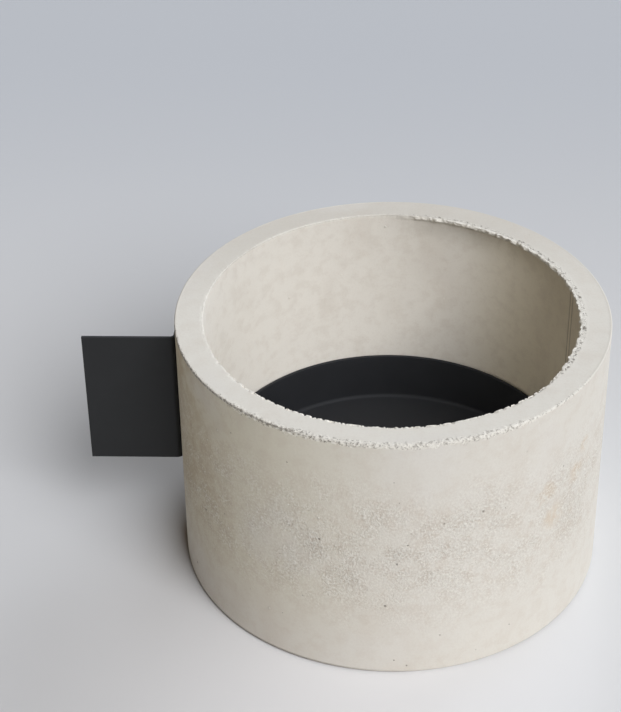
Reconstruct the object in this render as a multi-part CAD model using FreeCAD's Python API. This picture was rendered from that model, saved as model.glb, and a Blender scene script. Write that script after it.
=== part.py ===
import FreeCAD, Part
import math
import os

# Low round planter, cast in cement, with a black lift-out tray and a black steel plate at its side.
# Millimetres. The origin is the centre of the round base, on the ground.
# +Z is up, and the plate stands out along -X with its face towards -Y.

# Driving dimensions of the cast shell
outer_diameter = 400.0
overall_height = 261.0
rim_width = 24.0
core_draft = 4.0
floor_thickness = 31.0
rim_outer_radius = 2.5
rim_inner_radius = 2.5
base_edge_radius = 1.0
inner_corner_radius = 8.0

# Drain hole in the shell's floor, and its rubber bung
drain_diameter = 22.0
bung_clearance = 0.3
bung_stem_length = 24.0
bung_lead_in = 2.0
bung_head_overlap = 7.0
bung_edge_radius = 0.3

# Foot pads under the shell
foot_pad_count = 4
foot_pad_diameter = 30.0
foot_pad_thickness = 1.0
foot_pad_inset = 42.0
foot_pad_edge_radius = 0.3

# Lift-out tray and the rubber spacers glued under it
tray_height = 52.0
tray_sheet = 3.0
tray_side_clearance = 2.0
tray_draft = 2.0
tray_corner_radius = 10.0
tray_rim_radius = 1.0
seat_gap = 0.3
spacer_count = 3
spacer_diameter = 28.0
spacer_height = 10.0
spacer_inset = 52.0
spacer_edge_radius = 0.6

# Side plate: one sheet, folded where it meets the wall
plate_height = 140.0
plate_reach = 89.0
plate_drop = 29.0
plate_sheet = 3.0
plate_wall_gap = 0.3
fold_inner_radius = 3.0
flange_length = 66.0
plate_edge_radius = 0.4

# Screws, washers and cast-in sockets of the side plate
screw_diameter = 6.0
screw_length = 16.0
screw_hole_clearance = 0.3
screw_edge_distance = 25.0
screw_row_offset = 38.0
screw_head_diameter = 10.5
screw_head_height = 3.3
screw_head_dome_radius = 2.2
screw_tip_chamfer = 0.8
key_across_flats = 4.0
key_depth = 2.0
washer_diameter = 12.5
washer_thickness = 1.2
socket_diameter = 10.0
socket_length = 18.0
socket_bore_depth = 15.0
socket_recess = 0.5
socket_clearance = 0.15

# One overrun serves all cuts
overrun = 1.0

# Sizes that follow from the ones above
outer_radius = outer_diameter / 2
rim_bore_radius = outer_radius - rim_width
floor_bore_radius = rim_bore_radius - core_draft
drain_radius = drain_diameter / 2
shell_bottom = foot_pad_thickness
shell_floor = shell_bottom + floor_thickness
tray_bottom = shell_floor + seat_gap + spacer_height
tray_top = tray_bottom + tray_height
plate_top = overall_height - plate_drop
plate_bottom = plate_top - plate_height
flange_inner_radius = outer_radius + plate_wall_gap
flange_outer_radius = flange_inner_radius + plate_sheet
washer_face = flange_outer_radius + washer_thickness

UP = FreeCAD.Vector(0, 0, 1)
ORIGIN = FreeCAD.Vector(0, 0, 0)


def bore_radius(height):
    """Radius of the shell's inside at a height: the core that shaped it narrowed towards its foot."""
    share = (height - shell_floor) / (overall_height - shell_floor)
    return floor_bore_radius + core_draft * share


def flat(x, z):
    """A point of a profile that is turned about the axis."""
    return FreeCAD.Vector(x, 0, z)


def polar(radius, angle):
    """A point in plan, from its distance and its angle in radians."""
    return FreeCAD.Vector(radius * math.cos(angle), radius * math.sin(angle), 0)


def arc_edge(centre, radius, start, end):
    """An arc in plan about a centre, between two angles in radians."""
    middle = (start + end) / 2
    points = [centre + polar(radius, angle) for angle in (start, middle, end)]
    return Part.Arc(*points).toShape()


def rounded_face(corners):
    """A face in the XZ plane from (x, z, corner radius), with an arc at each corner that has a radius."""
    edges = []
    tangents = []
    count = len(corners)
    for i, (x, z, radius) in enumerate(corners):
        here = flat(x, z)
        before = flat(corners[i - 1][0], corners[i - 1][1]) - here
        after = flat(corners[(i + 1) % count][0], corners[(i + 1) % count][1]) - here
        if radius == 0:
            tangents.append((here, here))
            continue
        before.normalize()
        after.normalize()
        half = before.getAngle(after) / 2
        run = radius / math.tan(half)
        bisector = before + after
        bisector.normalize()
        start = here + before * run
        end = here + after * run
        middle = here + bisector * (radius / math.sin(half) - radius)
        edges.append(Part.Arc(start, middle, end).toShape())
        tangents.append((start, end))
    for i in range(count):
        leave = tangents[i][1]
        arrive = tangents[(i + 1) % count][0]
        edges.append(Part.makeLine(leave, arrive))
    return Part.Face(Part.Wire(Part.__sortEdges__(edges)))


def turned(corners):
    """A solid of revolution about the Z axis."""
    return rounded_face(corners).revolve(ORIGIN, UP, 360)


def disc(radius, thickness, edge_radius):
    """A round pad standing on z = 0, with its lower edge rounded."""
    return turned([(0, 0, 0), (radius, 0, edge_radius), (radius, thickness, 0), (0, thickness, 0)])


def around(shape, count, distance, height, first_angle):
    """Copies of a piece on a circle, as one group of separate solids."""
    copies = []
    for i in range(count):
        place = polar(distance, first_angle + 2 * math.pi * i / count)
        copy = shape.copy()
        copy.translate(place + UP * height)
        copies.append(copy)
    return Part.makeCompound(copies)


def screw_places():
    """Angle and height of each screw on the flange: one above the other."""
    angle = fold_end_angle() - screw_row_offset / flange_inner_radius
    low = plate_bottom + screw_edge_distance
    high = plate_top - screw_edge_distance
    return [(angle, low), (angle, high)]


def fold_centre():
    """Centre of the fold: it is tangent to the sheet's rear face and to the flange's outer face."""
    side = plate_sheet / 2 + fold_inner_radius
    reach = flange_outer_radius + fold_inner_radius
    return FreeCAD.Vector(-math.sqrt(reach ** 2 - side ** 2), side, 0)


def fold_end_angle():
    """Angle about the planter's axis at which the fold runs into the flange."""
    centre = fold_centre()
    return math.atan2(centre.y, centre.x)


def along_radius(shape, angle, distance, height):
    """A piece built along +X from the origin, moved out to a distance and turned to an angle."""
    placed = shape.copy()
    placed.rotate(ORIGIN, UP, math.degrees(angle))
    placed.translate(polar(distance, angle) + UP * height)
    return placed


def at_screws(shape, distance):
    """A copy of a piece for each screw, at a distance from the planter's axis, as one group of solids."""
    copies = [along_radius(shape, angle, distance, height) for angle, height in screw_places()]
    return Part.makeCompound(copies)


def rod(radius, length):
    """A plain round rod along +X from the origin."""
    return Part.makeCylinder(radius, length, ORIGIN, FreeCAD.Vector(1, 0, 0))


def radial_hole(radius, inner, outer, angle, height):
    """A round cutter along a radius of the planter, between two distances from its axis."""
    return along_radius(rod(radius, outer - inner), angle, inner, height)


def build_cast_shell():
    """Wall and floor in one casting, with the drain hole and the holes for the plate's sockets."""
    shell = turned([
        (drain_radius, shell_bottom, 0),
        (outer_radius, shell_bottom, base_edge_radius),
        (outer_radius, overall_height, rim_outer_radius),
        (rim_bore_radius, overall_height, rim_inner_radius),
        (floor_bore_radius, shell_floor, inner_corner_radius),
        (drain_radius, shell_floor, 0),
    ])
    depth = outer_radius - socket_recess - socket_length
    hole = socket_diameter / 2 + socket_clearance
    for angle, height in screw_places():
        cutter = radial_hole(hole, depth, outer_radius + overrun, angle, height)
        shell = shell.cut(cutter)
    return shell


def build_drain_bung():
    """Rubber bung pushed in from below: its head is as thick as the foot pads."""
    stem = drain_radius - bung_clearance
    head = drain_radius + bung_head_overlap
    top = shell_bottom + bung_stem_length
    return turned([
        (0, 0, 0),
        (head, 0, bung_edge_radius),
        (head, shell_bottom, 0),
        (stem, shell_bottom, 0),
        (stem, top - bung_lead_in, 0),
        (stem - bung_lead_in, top, 0),
        (0, top, 0),
    ])


def build_foot_pads():
    """Rubber pads under the shell, on the diagonals."""
    pad = disc(foot_pad_diameter / 2, foot_pad_thickness, foot_pad_edge_radius)
    return around(pad, foot_pad_count, outer_radius - foot_pad_inset, 0, math.pi / foot_pad_count)


def build_tray():
    """Black tray: its side leans out a little towards its rim, which stands close to the wall."""
    rim = bore_radius(tray_top) - tray_side_clearance
    foot = rim - tray_draft
    floor = tray_bottom + tray_sheet
    return turned([
        (0, tray_bottom, 0),
        (foot, tray_bottom, tray_corner_radius),
        (rim, tray_top, tray_rim_radius),
        (rim - tray_sheet, tray_top, tray_rim_radius),
        (foot - tray_sheet, floor, tray_corner_radius - tray_sheet),
        (0, floor, 0),
    ])


def build_tray_spacers():
    """Rubber spacers under the tray: they keep it off the bung and the shell's floor."""
    spacer = disc(spacer_diameter / 2, spacer_height, spacer_edge_radius)
    distance = floor_bore_radius - spacer_inset
    return around(spacer, spacer_count, distance, shell_floor + seat_gap, math.pi / 2)


def build_side_plate():
    """One folded sheet: a flat leg that stands out from the wall, and a flange rolled to its round."""
    half = plate_sheet / 2
    edge_x = -(outer_radius + plate_reach)
    centre = fold_centre()
    joint = fold_end_angle()
    # Angles about the fold's own centre: down to the leg, and in towards the planter's axis
    to_leg = -math.pi / 2
    to_axis = joint - math.pi
    flange_end = joint - flange_length / flange_inner_radius
    fold_outer_radius = fold_inner_radius + plate_sheet
    edges = [
        Part.makeLine(FreeCAD.Vector(edge_x, -half, 0), FreeCAD.Vector(centre.x, -half, 0)),
        arc_edge(centre, fold_outer_radius, to_leg, to_axis),
        arc_edge(ORIGIN, flange_inner_radius, joint, flange_end),
        Part.makeLine(polar(flange_inner_radius, flange_end), polar(flange_outer_radius, flange_end)),
        arc_edge(ORIGIN, flange_outer_radius, flange_end, joint),
        arc_edge(centre, fold_inner_radius, to_axis, to_leg),
        Part.makeLine(FreeCAD.Vector(centre.x, half, 0), FreeCAD.Vector(edge_x, half, 0)),
        Part.makeLine(FreeCAD.Vector(edge_x, half, 0), FreeCAD.Vector(edge_x, -half, 0)),
    ]
    plate = Part.Face(Part.Wire(Part.__sortEdges__(edges))).extrude(UP * plate_height)
    plate.translate(UP * plate_bottom)
    free_end = polar((flange_inner_radius + flange_outer_radius) / 2, flange_end)
    soft_edges = []
    for edge in plate.Edges:
        middle = edge.CenterOfMass
        aside = math.hypot(middle.x - free_end.x, middle.y - free_end.y)
        at_free_end = abs(middle.x - edge_x) < half or aside < plate_sheet
        if at_free_end or edge.BoundBox.ZLength < half:
            soft_edges.append(edge)
    plate = plate.makeFillet(plate_edge_radius, soft_edges)
    hole = screw_diameter / 2 + screw_hole_clearance
    for angle, height in screw_places():
        inner = outer_radius - overrun
        plate = plate.cut(radial_hole(hole, inner, flange_outer_radius + overrun, angle, height))
    return plate


def build_wall_sockets():
    """Threaded sockets cast into the wall, bored from the outside."""
    start = outer_radius - socket_recess - socket_length
    bore = screw_diameter / 2 + screw_hole_clearance
    body = rod(socket_diameter / 2, socket_length)
    cutter = rod(bore, socket_bore_depth + overrun)
    cutter.translate(FreeCAD.Vector(socket_length - socket_bore_depth, 0, 0))
    socket = body.cut(cutter)
    return at_screws(socket, start)


def build_plate_washers():
    """Plain washers between the flange and the screw heads."""
    hole = screw_diameter / 2 + screw_hole_clearance
    washer = rod(washer_diameter / 2, washer_thickness).cut(rod(hole, washer_thickness))
    return at_screws(washer, flange_outer_radius)


def build_plate_screws():
    """Button-head screws with a hexagon key socket."""
    shank = screw_diameter / 2
    head = screw_head_diameter / 2
    tip = -screw_length
    profile = [
        (0, tip, 0),
        (shank - screw_tip_chamfer, tip, 0),
        (shank, tip + screw_tip_chamfer, 0),
        (shank, 0, 0),
        (head, 0, 0),
        (head, screw_head_height, screw_head_dome_radius),
        (0, screw_head_height, 0),
    ]
    screw = turned(profile)
    corner = key_across_flats / math.sqrt(3)
    points = [polar(corner, math.pi * i / 3) + UP * (screw_head_height - key_depth) for i in range(7)]
    key = Part.Face(Part.makePolygon(points)).extrude(UP * (key_depth + overrun))
    screw = screw.cut(key)
    screw.rotate(ORIGIN, FreeCAD.Vector(0, 1, 0), 90)
    return at_screws(screw, washer_face)


NODES = {
    "cast_shell": build_cast_shell,
    "drain_bung": build_drain_bung,
    "foot_pads": build_foot_pads,
    "tray": build_tray,
    "tray_spacers": build_tray_spacers,
    "side_plate": build_side_plate,
    "plate_screws": build_plate_screws,
    "plate_washers": build_plate_washers,
    "wall_sockets": build_wall_sockets,
}


def main():
    os.makedirs("parts", exist_ok=True)
    for node, build in NODES.items():
        shape = build()
        box = shape.BoundBox
        shape.exportStep("parts/" + node + ".step")
        print(node, "solids", len(shape.Solids), "valid", shape.isValid(), "volume", round(shape.Volume),
              "box", [round(v, 2) for v in (box.XMin, box.YMin, box.ZMin, box.XMax, box.YMax, box.ZMax)])


main()
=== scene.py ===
# %% [markdown]
# # A low round planter, cast in cement
#
# The real object is a thick round casting with an open top. A black moulded tray drops into it, and a
# black steel sheet is screwed to its left side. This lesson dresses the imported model: it gives each
# part its finish, lights it softly and looks at it from above.
#
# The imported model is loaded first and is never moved. Every size below is read from it, or is a finishing
# size with its own name, in metres.

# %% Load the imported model
import math

import bpy
from mathutils import Matrix, Vector


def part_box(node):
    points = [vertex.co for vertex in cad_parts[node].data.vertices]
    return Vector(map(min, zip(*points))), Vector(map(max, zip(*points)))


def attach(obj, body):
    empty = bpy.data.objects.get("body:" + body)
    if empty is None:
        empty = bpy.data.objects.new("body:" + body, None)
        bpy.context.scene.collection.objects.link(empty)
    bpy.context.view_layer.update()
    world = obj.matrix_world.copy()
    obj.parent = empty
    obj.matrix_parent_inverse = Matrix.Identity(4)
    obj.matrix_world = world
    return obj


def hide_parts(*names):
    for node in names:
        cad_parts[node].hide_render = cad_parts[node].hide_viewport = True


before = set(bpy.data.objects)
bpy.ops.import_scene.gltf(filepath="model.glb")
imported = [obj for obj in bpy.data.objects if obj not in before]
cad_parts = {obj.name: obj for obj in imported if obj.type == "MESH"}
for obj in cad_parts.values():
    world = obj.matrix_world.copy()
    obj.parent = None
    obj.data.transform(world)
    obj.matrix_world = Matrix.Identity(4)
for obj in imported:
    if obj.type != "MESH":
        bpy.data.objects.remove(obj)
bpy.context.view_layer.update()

MM = 0.001

# %% [markdown]
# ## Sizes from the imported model
#
# A turned part has all its points on circles about the Z axis. So its radii can be read from the points
# between two heights, and they are exact, because the points of a faceted circle lie on the true one.
# The inside of the shell is slightly wider at the rim than at the floor, because its core had to come out.

# %% Read the sizes


def spread(values):
    """Smallest and largest of some values."""
    found = list(values)
    return min(found), max(found)


def node_points(node):
    """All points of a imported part."""
    return [v.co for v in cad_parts[node].data.vertices]


def radii(node, low=-1.0, high=1.0):
    """Smallest and largest distance from the axis of a part's points between two heights."""
    return spread(math.hypot(p.x, p.y) for p in node_points(node) if low <= p.z <= high)


def levels(node):
    """Lowest and highest height of a part."""
    low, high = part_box(node)
    return low.z, high.z


FLOOR_CORNER = 8.0 * MM
shell_bottom, shell_top = levels("cast_shell")
shell_middle = (shell_bottom + shell_top) / 2
shell_floor = levels("tray_spacers")[0]
rim_bore, shell_outer = radii("cast_shell", shell_middle, shell_top)
foot_bore = radii("cast_shell", shell_floor + 0.95 * FLOOR_CORNER, shell_middle)[0]
drain_radius = radii("cast_shell")[0]
tray_bottom, tray_top = levels("tray")
tray_rim = radii("tray")[1]
print(f"shell {2 * shell_outer:.3f} m across and {shell_top:.3f} m high")
print(f"rim {shell_outer - rim_bore:.4f} m wide")
print(f"inside {2 * rim_bore:.4f} m across at the rim, {2 * foot_bore:.4f} m at the floor")
print(f"tray {2 * tray_rim:.3f} m across, rim at {tray_top:.4f} m")

# %% [markdown]
# ## Nodes written as Python
#
# Both surfaces and shapes come from node trees here. Wiring dozens of Math nodes by hand hides what they
# work out, so a small class wraps a socket and gives it the usual operators: `1 - mask * 0.5` then adds
# the nodes by itself. Any other node comes from one method, which takes the node's type, its settings
# and what goes into its sockets. The same class serves materials and Geometry Nodes.

# %% A socket with operators, and a board to put nodes on


class Wire:
    """What leaves a node's socket. Sums and products on it add Math nodes."""

    def __init__(self, board, socket):
        self.board = board
        self.socket = socket

    def other(self, name):
        """Another output of the same node."""
        return Wire(self.board, self.socket.node.outputs[name])

    def __add__(self, value):
        return self.board.math("ADD", self, value)

    def __radd__(self, value):
        return self.board.math("ADD", value, self)

    def __sub__(self, value):
        return self.board.math("SUBTRACT", self, value)

    def __rsub__(self, value):
        return self.board.math("SUBTRACT", value, self)

    def __mul__(self, value):
        return self.board.math("MULTIPLY", self, value)

    def __rmul__(self, value):
        return self.board.math("MULTIPLY", value, self)

    def __truediv__(self, value):
        return self.board.math("DIVIDE", self, value)

    def __rtruediv__(self, value):
        return self.board.math("DIVIDE", value, self)

    def __abs__(self):
        return self.board.math("ABSOLUTE", self)


class Board:
    """A node tree, with one way to add a node of any type."""

    def __init__(self, tree):
        self.tree = tree

    def add(self, kind, settings=None, sockets=None, out=0):
        """Adds a node: first its settings, then a value or a wire for each named or numbered socket."""
        node = self.tree.nodes.new(kind)
        for name, value in (settings or {}).items():
            setattr(node, name, value)
        for key, value in (sockets or {}).items():
            if isinstance(value, Wire):
                self.tree.links.new(value.socket, node.inputs[key])
            else:
                node.inputs[key].default_value = value
        return Wire(self, node.outputs[out]) if node.outputs else node

    def math(self, operation, *values):
        return self.add("ShaderNodeMath", {"operation": operation}, dict(enumerate(values)))

    def vector(self, operation, *values):
        return self.add("ShaderNodeVectorMath", {"operation": operation}, dict(enumerate(values)))

    def scaled(self, vector, factor):
        return self.add("ShaderNodeVectorMath", {"operation": "SCALE"}, {0: vector, "Scale": factor})

    def distance(self, a, b):
        return self.add("ShaderNodeVectorMath", {"operation": "DISTANCE"}, {0: a, 1: b}, "Value")

    def join(self, x, y, z):
        return self.add("ShaderNodeCombineXYZ", None, {"X": x, "Y": y, "Z": z})

    def polar(self, reach, angle, height):
        """A place given by its distance from the axis, its angle and its height."""
        return self.join(reach * self.math("COSINE", angle), reach * self.math("SINE", angle), height)

    def split(self, vector):
        apart = self.add("ShaderNodeSeparateXYZ", None, {0: vector})
        return apart, apart.other("Y"), apart.other("Z")

    def fade(self, value, start, end):
        """0 before start, 1 past end, and a soft S between them."""
        sockets = {"Value": value, "From Min": start, "From Max": end}
        return self.add("ShaderNodeMapRange", {"interpolation_type": "SMOOTHSTEP"}, sockets)

    def near(self, distance, full, gone):
        """1 closer than full and 0 beyond gone."""
        return 1 - self.fade(distance, full, gone)

    def noise(self, place, scale, detail=2.0, roughness=0.5, seed=0.0):
        """Cloudy noise from 0 to 1. Its patches are about one over the scale across, in metres."""
        sockets = {"Vector": place, "W": seed, "Scale": scale, "Detail": detail, "Roughness": roughness}
        return self.add("ShaderNodeTexNoise", {"noise_dimensions": "4D"}, sockets)

    def cells(self, place, scale):
        """Distance to the nearest of many scattered points, counted in cells."""
        sockets = {"Vector": place, "Scale": scale}
        return self.add("ShaderNodeTexVoronoi", {"feature": "F1"}, sockets, "Distance")

    def mix(self, factor, colour_a, colour_b):
        sockets = {0: factor, 6: colour_a, 7: colour_b}
        return self.add("ShaderNodeMix", {"data_type": "RGBA"}, sockets, 2)

    def larger(self, a, b):
        return self.math("MAXIMUM", a, b)


def rgb(red, green, blue):
    return (red, green, blue, 1.0)


print("node helpers are ready")

# %% [markdown]
# ### Where a point lies on a round object
#
# Marks on this planter follow its shape: a chipped edge, a bead along the opening, a seam on one side. They
# are easiest to place with three measures: the distance from the axis, the distance from one of the
# edge's circles, and how squarely a point faces a direction round the planter. Shape and finish use
# the same three, so that a chip in the mesh and its dark colour fall together.
#
# The directions are in degrees, counted as seen from the camera: -90 is the front, 180 the left. The
# camera stands turned a little round the planter, so each direction gets that turn added.

# %% Measures on a round object
VIEW_TURN = 2.2


class Round:
    """The measures of a place on the planter, as wires on a board."""

    def __init__(self, board, place):
        self.board = board
        self.place = place
        self.x, self.y, self.z = board.split(place)
        self.reach = board.math("SQRT", self.x * self.x + self.y * self.y)

    def from_circle(self, radius, height):
        """Distance from a level circle about the axis."""
        aside, below = self.reach - radius, self.z - height
        return self.board.math("SQRT", aside * aside + below * below)

    def facing(self, middle, half, soft):
        """1 within half of a direction in degrees, 0 further away than half and soft together."""
        turn = math.radians(middle + VIEW_TURN)
        square = (self.x * math.cos(turn) + self.y * math.sin(turn)) / self.reach
        return self.board.fade(square, math.cos(math.radians(half + soft)), math.cos(math.radians(half)))

    def spots(self, places, radius):
        """Soft spots on a wall, each given by its direction, height and size. They add up."""
        total = 0.0
        for angle, height, size in places:
            turn = math.radians(angle + VIEW_TURN)
            centre = (radius * math.cos(turn), radius * math.sin(turn), height)
            total = total + self.board.near(self.board.distance(self.place, centre), size * 0.25, size)
        return total

    def uprights(self, angles, full, gone):
        """Upright lines on a wall, each given by its direction."""
        total = 0.0
        for angle in angles:
            turn = math.radians(angle + VIEW_TURN)
            across = abs(self.y * math.cos(turn) - self.x * math.sin(turn))
            total = total + self.board.near(across, full, gone)
        return total


# Each arc: its middle, how far it keeps its strength to each side, and how softly it ends, in degrees
BROKEN_ARC = (-97.0, 34.0, 12.0)      # crumbled outer edge
NICKED_ARC = (-106.0, 64.0, 14.0)     # small nicks further along that edge
DEEP_ARC = (-150.0, 36.0, 24.0)       # the darkest pits
BEAD_ARC = (22.0, 46.0, 24.0)         # bead on the inner edge
# The next three arcs place a painted highlight line on the inner edge; the first also places its nicks.
FRONT_LIP_ARC = (-82.0, 56.0, 24.0)   # pale line on the inner edge
LEFT_LIP_ARC = (-172.0, 14.0, 16.0)   # the same, but interrupted
BACK_LIP_ARC = (112.0, 14.0, 14.0)
# The next arc places a painted shadow line just under the outer edge; the shape has no groove there.
EDGE_SHADOW_ARC = (-147.0, 23.0, 14.0)     # dark groove just under the outer edge
# The next arc places painted warm bounce light on the shaded right of the inside.
INSIDE_BOUNCE_ARC = (5.0, 30.0, 34.0)    # yellower stretch of the inside
DULL_RIM_ARC = (95.0, 30.0, 60.0)     # darker stretch of the rim
# The next arc darkens the outer corner with painted shade, in place of pale crumbs.
CORNER_SHADE_ARC = (25.0, 50.0, 25.0)  # outer corner without pale crumbs
# The next two arcs place painted warm shade on the shaded left of the wall.
LEFT_WARM_SHADE_ARC = (178.0, 40.0, 60.0)       # stains on the wall
LEFT_BROWN_SHADE_ARC = (178.0, 12.0, 42.0)
# The next arc places a painted shadow line along the foot.
FOOT_SHADOW_ARC = (-160.0, 36.0, 46.0)  # dark line along the foot
SEAM_ANGLES = (11.5, 13.6)
print("the planter's marks are placed from the axis")

# %% [markdown]
# ## Finishes
#
# Each finish is a procedural material: nothing is painted and no picture is used. A finish reads the Object
# coordinates, which are metres here, so a scale of 500 gives grains 2 mm across.

# %% Start a material


def new_finish(name):
    """An empty material with a Principled shader. Returns the material, its board and the shader node."""
    material = bpy.data.materials.new(name)
    material.use_nodes = True
    shader = material.node_tree.nodes["Principled BSDF"]
    return material, Board(material.node_tree), shader


def feed(board, shader, **values):
    """Sets or links sockets of the shader, whose names are written with _ for a space."""
    for name, value in values.items():
        socket = shader.inputs[name.replace("_", " ")]
        if isinstance(value, Wire):
            board.tree.links.new(value.socket, socket)
        else:
            socket.default_value = value


def bump(board, height_mm):
    """A surface that rises and falls by a height in millimetres."""
    return board.add("ShaderNodeBump", None, {"Strength": 1.0, "Distance": MM, "Height": height_mm})


print("materials can be made")

# %% [markdown]
# ### Cast cement
#
# A cement wall that has been cast in a mould isn't one colour. Water collects behind the mould's skin and
# leaves clouds of warmer and paler cement; where the mix was stiff, the middle of the wall keeps a
# band of fine grain and pinholes, while the top and the foot come out smoother. The inside was pressed
# against a closed core, so it has soft mottles instead of holes; it is painted paler, as painted light, and
# warmer on its shaded right, as painted bounce light. The rim is cut and rubbed flat, and is darker at the
# back.
# Where its edges broke, fresh cement shows as a cream fringe with small pits, which get painted shade;
# further left only a painted shadow line runs under the edge. Painted warm shade lies in blotches on the
# shaded left of the wall, and a painted shadow line along its foot. Pinholes and chips get painted shade too.
#
# So the finish is built up in the same order: tone, painted warm shade and mottles, water marks, grain,
# pinholes, edges.

# %% Cement colours and heights
CEMENT = rgb(0.765, 0.725, 0.645)
CEMENT_RIM = rgb(0.82, 0.79, 0.71)
# The inside is paler than the outside as painted light, and the tan is painted warm bounce light in its
# shade.
CEMENT_INSIDE_LIT = rgb(0.925, 0.88, 0.79)
CEMENT_BOUNCE_TAN = rgb(0.945, 0.865, 0.68)
CEMENT_WARM = rgb(0.62, 0.53, 0.43)
CEMENT_PALE = rgb(0.79, 0.76, 0.70)
CEMENT_BROWN = rgb(0.70, 0.575, 0.43)
CEMENT_WARM_SHADE = rgb(0.76, 0.70, 0.50)
CEMENT_BROWN_SHADE = rgb(0.55, 0.43, 0.24)
CEMENT_DARKER = rgb(0.70, 0.665, 0.59)
CEMENT_CREAM = rgb(0.88, 0.84, 0.75)
CEMENT_FRESH_AND_HIGHLIGHT = rgb(0.95, 0.915, 0.82)
# Dark colour of the seam lines, and of painted shade in pits, chips and pinholes, under the edge and along
# the foot.
CEMENT_SEAM_AND_SHADE = rgb(0.16, 0.13, 0.095)
BAND_FOOT, BAND_HEAD = 0.075, 0.200
BAND_SOFT = 0.035
BAND_WAVE = 0.09
WALL_SOFT = 5 * MM
RIM_SKIN = (2.0 * MM, 0.6 * MM)

# %% Tone, clouds and mottles
cement, board, shader = new_finish("cast_cement")
place = board.add("ShaderNodeTexCoord", out="Object")
spot = Round(board, place)
rim_middle = (rim_bore + shell_outer) / 2
underneath = board.fade(spot.z, 0.7 * shell_floor, 0.5 * shell_floor)
outside = board.larger(underneath, board.fade(spot.reach, rim_middle - WALL_SOFT, rim_middle + WALL_SOFT))
below_top = shell_top - spot.z
on_rim = board.fade(below_top, *RIM_SKIN)

clouds = board.noise(place, 9.0, 3.0, 0.55)
mottles = board.noise(place, 78.0, 4.0, 0.62, seed=3.0)
streaks = board.noise(board.vector("MULTIPLY", place, (1.0, 1.0, 0.45)), 26.0, seed=15.0)
wavy_height = spot.z + (clouds - 0.5) * BAND_WAVE
band_low = board.fade(wavy_height, BAND_FOOT - BAND_SOFT, BAND_FOOT + BAND_SOFT)
band_high = board.fade(wavy_height, BAND_HEAD + BAND_SOFT, BAND_HEAD - BAND_SOFT)
band = band_low * band_high * outside

# The inside gets its paler colour and, on its shaded right, a tan tint: both painted light.
painted_inside_light = board.mix(spot.facing(*INSIDE_BOUNCE_ARC) * 0.8, CEMENT_INSIDE_LIT, CEMENT_BOUNCE_TAN)
colour = board.mix(outside, painted_inside_light, CEMENT)
# Painted warm shade on the shaded left of the wall, the darker part broken into blotches.
left_warm_shade = outside * spot.facing(*LEFT_WARM_SHADE_ARC) * board.fade(spot.z, 0.0, 0.11)
left_brown_shade = outside * spot.facing(*LEFT_BROWN_SHADE_ARC) * board.fade(spot.z, 0.03, 0.13)
colour = board.mix(left_warm_shade * 0.5, colour, CEMENT_WARM_SHADE)
blotches = 0.3 + 0.35 * board.fade(streaks, 0.42, 0.58) + 0.45 * board.fade(mottles, 0.42, 0.58)
colour = board.mix(left_brown_shade * blotches * 0.60, colour, CEMENT_BROWN_SHADE)
colour = board.mix(on_rim, colour, CEMENT_RIM)
colour = board.mix(on_rim * spot.facing(*DULL_RIM_ARC) * 0.9, colour, CEMENT_DARKER)
mottle_share = (0.17 + 0.03 * outside + 0.16 * band) * (1 - 0.5 * on_rim)
colour = board.mix(board.fade(mottles, 0.44, 0.66) * mottle_share, colour, CEMENT_WARM)
colour = board.mix(board.fade(streaks, 0.50, 0.72) * 0.16, colour, CEMENT_WARM)
colour = board.mix(board.fade(clouds, 0.50, 0.68) * 0.40 * outside, colour, CEMENT_PALE)

# %% Brown water marks on the right of the wall
WATER_MARKS = ((-49.0, 0.168, 0.016), (-46.0, 0.136, 0.018), (-37.0, 0.168, 0.015), (-33.0, 0.190, 0.012))
marks = spot.spots(WATER_MARKS, shell_outer)
colour = board.mix(board.fade(mottles, 0.34, 0.58) * marks * 0.65, colour, CEMENT_BROWN)

# %% Grain, which is coarse in the band and coarsest in a few scars
grain = board.noise(place, 900.0, 2.0, 0.65, seed=5.0)
grit = board.noise(place, 440.0, 3.0, 0.70, seed=6.0)
patchy = board.fade(board.noise(place, 40.0, seed=13.0), 0.40, 0.60)
SCARS = ((-111.0, 0.136, 0.020), (-103.0, 0.110, 0.012), (-120.0, 0.160, 0.015))
SCARS += ((-92.0, 0.140, 0.014), (-83.0, 0.113, 0.011))
scarred = spot.spots(SCARS, shell_outer)
gritty = band * (0.35 + 0.75 * patchy) + 0.6 * scarred
colour = board.mix(board.fade(grit, 0.50, 0.36) * (0.08 + 0.42 * gritty), colour, CEMENT_WARM)
colour = board.mix(board.fade(grit, 0.50, 0.62) * (0.08 + 0.84 * gritty), colour, CEMENT_CREAM)

# %% Pinholes and pale specks, which gather in the band and its scars
pin_cells = board.cells(place, 190.0)
pin_x, pin_y, pin_z = board.split(pin_cells.other("Color"))
pin_size = 0.06 + 0.12 * pin_x * pin_x
dots = board.near(pin_cells + 0.25 * (grit - 0.5), pin_size, pin_size * 1.8)
# Pinholes are dented by the bump and darkened with painted shade.
pinholes_and_shade = dots * board.fade(pin_y + 0.012 * band + 0.15 * scarred, 0.975, 0.990) * outside
specks = dots * board.fade(pin_z + 0.035 * band + 0.20 * scarred, 0.980, 0.995)

# %% [markdown]
# Each edge gets a zone whose border a slow noise makes uneven. A noise of two to three millimetres cuts the
# zone into cream crumbs that catch the light and pits between them, which get painted shade, and the
# directions set how strong it is. Along the bead the pits lie behind a thin pale line, where the lip leans
# over the opening; at the front and left a painted highlight marks the inner edge itself. Two fine dark lines
# inside mark where the sheet of the core met.

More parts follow.
